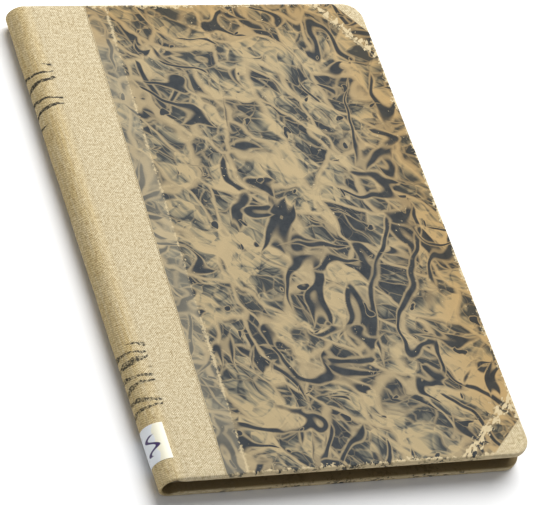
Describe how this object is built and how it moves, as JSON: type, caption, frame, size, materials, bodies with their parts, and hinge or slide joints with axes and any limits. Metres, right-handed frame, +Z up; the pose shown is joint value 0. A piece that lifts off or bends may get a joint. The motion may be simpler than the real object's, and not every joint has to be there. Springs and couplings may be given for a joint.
{
  "type": "pocket notebook",
  "caption": "Hard-backed pocket notebook with a rounded cloth spine, patterned paper covers and cloth corner tips. Its covers and upper leaves open.",
  "frame": {"origin": "middle of the underside of the closed notebook", "axes": "+X from the spine to the fore edge, +Y from tail to head, +Z up through the front cover"},
  "size_m": [0.108, 0.154, 0.0085],
  "materials": {
    "cloth": "worn cream bookcloth",
    "pattern": "matte patterned cover paper, rubbed",
    "board": "grey-brown millboard",
    "endpaper": "plain cream endpaper",
    "page": "aged uncoated writing paper with stained edges",
    "card": "bent spine card",
    "lining": "open weave lining cloth",
    "tape": "flat linen tape",
    "thread": "linen thread",
    "label": "smooth gummed label, yellowed at one end"
  },
  "bodies": {
    "back_cover": {"back_cloth": "cloth", "back_cover_paper": "pattern", "back_corner_tail": "cloth", "back_corner_head": "cloth", "back_board": "board", "back_pastedown": "endpaper"},
    "text_block": {"spine_cloth": "cloth", "spine_inlay": "card", "spine_lining": "lining", "spine_label": "label", "tape_1": "tape", "tape_2": "tape", "tape_3": "tape", "thread_tail": "thread", "thread_head": "thread", "back_flyleaf": "endpaper", "section_1": "page", "section_2": "page", "section_3": "page", "section_4": "page", "section_5_fold": "page", "section_6_fold": "page", "section_7_fold": "page", "front_flyleaf_fold": "endpaper"},
    "front_cover": {"front_cloth": "cloth", "front_cover_paper": "pattern", "front_corner_tail": "cloth", "front_corner_head": "cloth", "front_board": "board", "front_pastedown": "endpaper"},
    "front_flyleaf": {"front_flyleaf_leaf": "endpaper"},
    "upper_section": {"section_7_leaves": "page"},
    "second_section": {"section_6_leaves": "page"},
    "third_section": {"section_5_leaves": "page"}
  },
  "joints": [
    {"name": "back_cover_hinge", "type": "hinge", "parent": "back_cover", "child": "text_block", "pos_m": [-0.05, 0, 0], "axis": [0, 1, 0], "range_deg": [-60, 0]},
    {"name": "front_cover_hinge", "type": "hinge", "parent": "text_block", "child": "front_cover", "pos_m": [-0.049, 0, 0.0085], "axis": [0, -1, 0], "range_deg": [0, 179]},
    {"name": "front_flyleaf_turn", "type": "hinge", "parent": "text_block", "child": "front_flyleaf", "pos_m": [-0.049, 0, 0.0085], "axis": [0, -1, 0], "range_deg": [0, 178.2]},
    {"name": "upper_section_turn", "type": "hinge", "parent": "text_block", "child": "upper_section", "pos_m": [-0.049, 0, 0.0085], "axis": [0, -1, 0], "range_deg": [0, 174.6]},
    {"name": "second_section_turn", "type": "hinge", "parent": "text_block", "child": "second_section", "pos_m": [-0.049, 0, 0.0085], "axis": [0, -1, 0], "range_deg": [0, 25.1]},
    {"name": "third_section_turn", "type": "hinge", "parent": "text_block", "child": "third_section", "pos_m": [-0.049, 0, 0.0085], "axis": [0, -1, 0], "range_deg": [0, 10.8]}
  ],
  "couplings": [
    {"joint": "front_flyleaf_turn", "follows": "front_cover_hinge", "ratio": 0.995},
    {"joint": "upper_section_turn", "follows": "front_cover_hinge", "ratio": 0.975},
    {"joint": "second_section_turn", "follows": "front_cover_hinge", "ratio": 0.14},
    {"joint": "third_section_turn", "follows": "front_cover_hinge", "ratio": 0.06}
  ]
}
